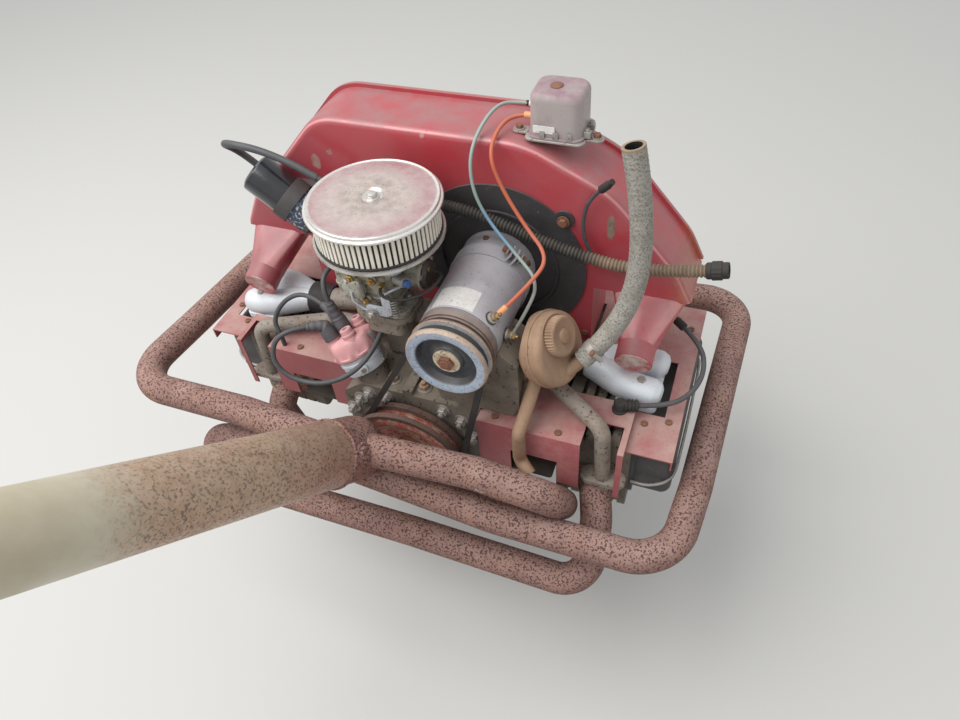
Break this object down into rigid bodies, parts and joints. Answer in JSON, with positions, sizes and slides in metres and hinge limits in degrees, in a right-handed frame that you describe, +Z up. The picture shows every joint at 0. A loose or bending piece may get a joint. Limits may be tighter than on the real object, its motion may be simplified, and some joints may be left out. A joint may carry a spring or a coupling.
{
  "type": "air-cooled flat-four car engine",
  "caption": "Air-cooled flat-four car engine with red blower housing, dynamo, round air cleaner and a rusty exhaust header that rises into a wide open tail pipe.",
  "frame": {"origin": "the crankshaft's axis at the gearbox flange's face, centre of its four bolts", "axes": "+Y forward out of the gearbox flange, +Z up, +X to the right seen from the pulley end"},
  "size_m": [0.8968, 1.0259, 0.6422],
  "materials": {
    "case_alloy": "dusty cast alloy",
    "cast_iron": "bare finned iron",
    "dusty_steel": "dusty pressed steel",
    "dark_paint": "black enamel under dust",
    "bare_steel": "bare steel",
    "rusty_steel": "speckled rust",
    "rubber": "dull black",
    "red_paint": "faded red enamel",
    "aged_aluminium": "aged aluminium",
    "carb_zinc": "olive chromate zinc",
    "chrome": "chrome under dust",
    "filter_paper": "pleated paper",
    "pink_plastic": "moulded plastic",
    "coil_black": "black enamel",
    "tan_paint": "dusty enamel",
    "stinger_steel": "heat-tanned steel",
    "grey_rubber": "greyed rubber",
    "orange_wire": "orange vinyl",
    "green_wire": "grey-green vinyl"
  },
  "bodies": {
    "engine": {"air_cleaner_base": "chrome", "air_cleaner_element": "filter_paper", "air_cleaner_lid": "chrome", "breather_hose": "grey_rubber", "carburettor": "carb_zinc", "coil_clamp": "bare_steel", "coil_lead": "rubber", "connectors": "rubber", "crankcase_left": "case_alloy", "crankcase_right": "case_alloy", "cylinder_tin_left": "red_paint", "cylinder_tin_right": "red_paint", "cylinders_left": "cast_iron", "cylinders_right": "cast_iron", "distributor": "aged_aluminium", "distributor_cap": "pink_plastic", "dynamo_body": "aged_aluminium", "dynamo_stand": "case_alloy", "dynamo_strap": "bare_steel", "dynamo_wire_green": "green_wire", "dynamo_wire_orange": "orange_wire", "fan_backing_plate": "dark_paint", "fan_shroud": "red_paint", "fuel_hose": "rubber", "head_left": "case_alloy", "head_right": "case_alloy", "header_collector": "rusty_steel", "header_tube_left_front": "rusty_steel", "header_tube_left_rear": "rusty_steel", "header_tube_right_front": "rusty_steel", "header_tube_right_rear": "rusty_steel", "heat_risers": "dusty_steel", "ignition_coil": "coil_black", "intake_boots": "rubber", "intake_casting_left": "aged_aluminium", "intake_casting_right": "aged_aluminium", "intake_manifold": "dusty_steel", "lead_boots": "grey_rubber", "loom_conduit": "rubber", "oil_filler": "tan_paint", "oil_filler_cap": "tan_paint", "plug_lead_front": "rubber", "plug_lead_rear": "rubber", "plug_lead_right": "rubber", "pushrod_tubes": "dusty_steel", "regulator_lead": "rubber", "rocker_cover_left": "dark_paint", "rocker_cover_right": "dark_paint", "stinger": "stinger_steel", "sump_plate": "case_alloy", "v_belt": "rubber", "vacuum_hose": "rubber", "voltage_regulator": "bare_steel"},
    "crank": {"crankshaft": "bare_steel", "crank_pulley": "rusty_steel", "flywheel": "bare_steel", "clutch_cover": "dark_paint"},
    "dynamo_rotor": {"dynamo_shaft": "bare_steel", "dynamo_pulley": "bare_steel", "blower_fan": "bare_steel"}
  },
  "joints": [
    {"name": "crank_spin", "type": "hinge", "parent": "engine", "child": "crank", "pos_m": [0, -0.391, 0], "axis": [0, 1, 0], "continuous": true},
    {"name": "dynamo_spin", "type": "hinge", "parent": "engine", "child": "dynamo_rotor", "pos_m": [0.084, -0.391, 0.223], "axis": [0, 1, 0], "continuous": true}
  ],
  "couplings": [
    {"joint": "dynamo_spin", "follows": "crank_spin", "ratio": 1.6633}
  ]
}
